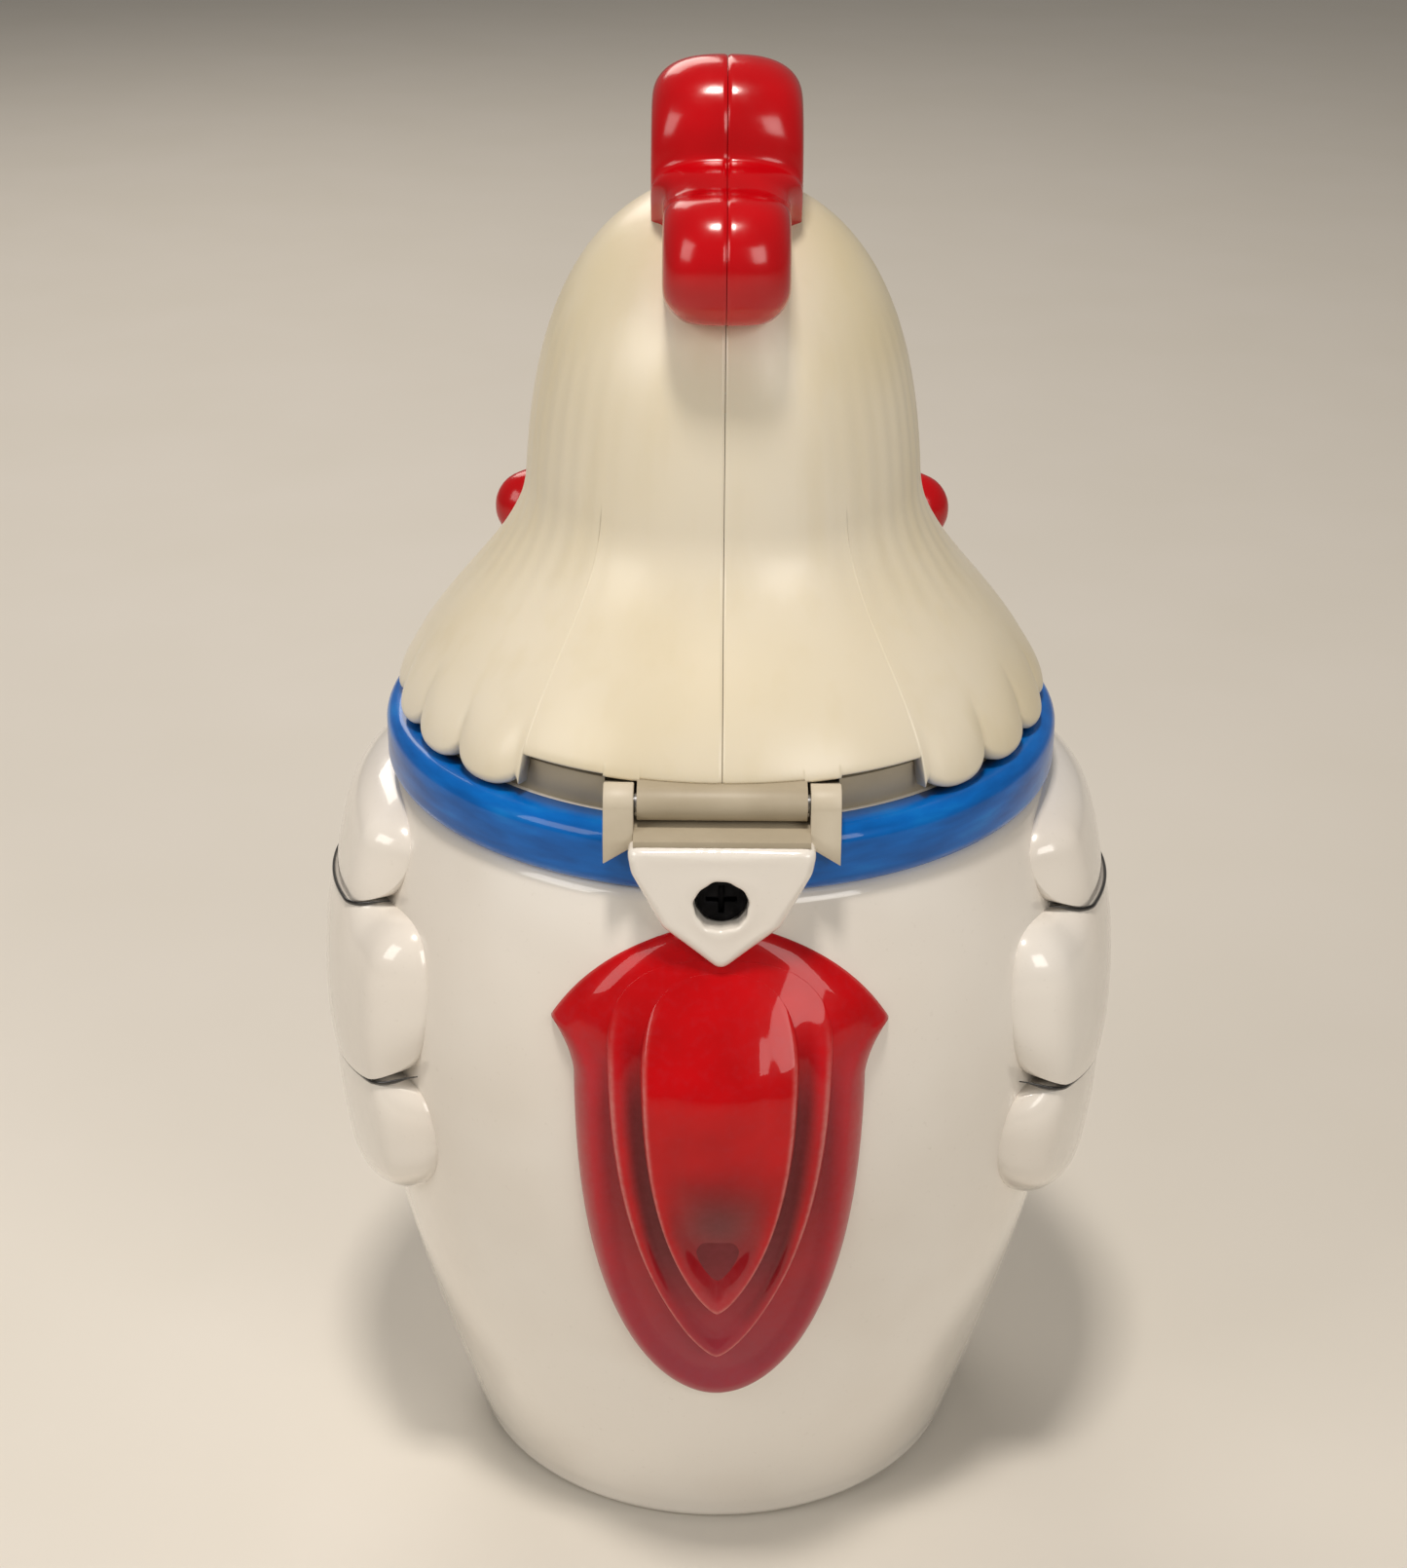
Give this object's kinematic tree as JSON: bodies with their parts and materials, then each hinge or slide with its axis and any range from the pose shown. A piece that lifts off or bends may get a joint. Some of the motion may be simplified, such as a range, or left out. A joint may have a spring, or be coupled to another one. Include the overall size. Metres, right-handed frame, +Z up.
{
  "type": "chicken-shaped hinged storage jar",
  "caption": "Chicken-shaped glazed jar whose moulded plastic head tips back on a rear hinge to open the mouth.",
  "frame": {"origin": "centre of the jar's flat base, on the surface it stands on", "axes": "+Z up, -Y to the front where the beak points, +Y to the tail and hinge, +X to the chicken's left"},
  "size_m": [0.1152, 0.112, 0.2085],
  "materials": {
    "glaze_white": "clear gloss glaze over warm white earthenware",
    "glaze_blue": "gloss blue underglaze band",
    "glaze_red": "gloss red underglaze, thinner and pinker on the ridges",
    "shell_cream": "semi-gloss moulded plastic, yellowed with age",
    "ring_beige": "moulded plastic, satin",
    "comb_red": "gloss moulded plastic",
    "beak_yellow": "gloss moulded plastic",
    "eye_white": "gloss moulded plastic",
    "pupil_black": "gloss moulded plastic",
    "seal": "silicone rubber, satin",
    "steel": "bright zinc-plated steel"
  },
  "bodies": {
    "jar": {"jar_body": "glaze_white", "collar": "glaze_blue", "hinge_boss": "glaze_white", "tail_base": "glaze_red", "tail_layer": "glaze_red", "tail_feather": "glaze_red", "wing_left_upper": "glaze_white", "wing_left_middle": "glaze_white", "wing_left_lower": "glaze_white", "wing_right_upper": "glaze_white", "wing_right_middle": "glaze_white", "wing_right_lower": "glaze_white", "neck_ring": "ring_beige", "hinge_ear_left": "ring_beige", "hinge_ear_right": "ring_beige", "hinge_pin": "steel", "hinge_screw": "steel", "hinge_nut": "steel"},
    "head": {"head_left": "shell_cream", "head_right": "shell_cream", "lid_plate": "ring_beige", "lid_gasket": "seal", "plate_screw_1": "steel", "plate_screw_2": "steel", "plate_screw_3": "steel", "plate_screw_4": "steel", "comb_left": "comb_red", "comb_right": "comb_red", "beak_upper": "beak_yellow", "beak_lower": "beak_yellow", "eye_left": "eye_white", "eye_right": "eye_white", "pupil_left": "pupil_black", "pupil_right": "pupil_black", "wattle_left": "comb_red", "wattle_right": "comb_red"}
  },
  "joints": [
    {"name": "head_hinge", "type": "hinge", "parent": "jar", "child": "head", "pos_m": [0, 0.0446, 0.122], "axis": [-1, 0, 0], "range_deg": [0, 95]}
  ]
}
